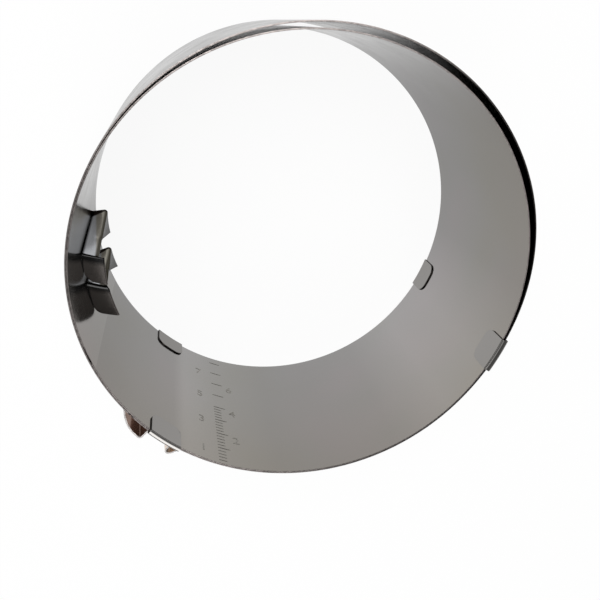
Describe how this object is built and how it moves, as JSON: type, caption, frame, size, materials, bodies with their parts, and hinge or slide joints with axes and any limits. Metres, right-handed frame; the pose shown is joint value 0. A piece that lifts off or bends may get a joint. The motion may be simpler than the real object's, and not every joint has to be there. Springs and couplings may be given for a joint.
{
  "type": "adjustable cake ring",
  "caption": "Bottomless round cake ring of springy steel strip wound on itself, with rim guide clips and finger grips that slide the coil to set its diameter.",
  "frame": {"origin": "centre of the object's box, on the surface that it stands on", "axes": "+Z up along the ring's axis, +X to the right in the picture and +Y up in it"},
  "size_m": [0.164, 0.1642, 0.0874],
  "materials": {
    "strip_steel": "polished stainless sheet",
    "clip_steel": "polished stainless sheet",
    "grip_steel": "satin stainless sheet"
  },
  "bodies": {
    "outer_turn": {"outer_band": "strip_steel", "guide_clip_a_top": "clip_steel", "guide_clip_a_bottom": "clip_steel", "guide_clip_b_top": "clip_steel", "guide_clip_b_bottom": "clip_steel", "outer_grip_1": "grip_steel", "outer_grip_2": "grip_steel"},
    "inner_turn": {"inner_band": "strip_steel", "inner_grip_1": "grip_steel", "inner_grip_2": "grip_steel"}
  },
  "joints": [
    {"name": "diameter_slide", "type": "hinge", "parent": "outer_turn", "child": "inner_turn", "pos_m": [-0.00073, -0.0009, 0.0437], "axis": [0, 0, 1], "range_deg": [-315, 0]}
  ]
}
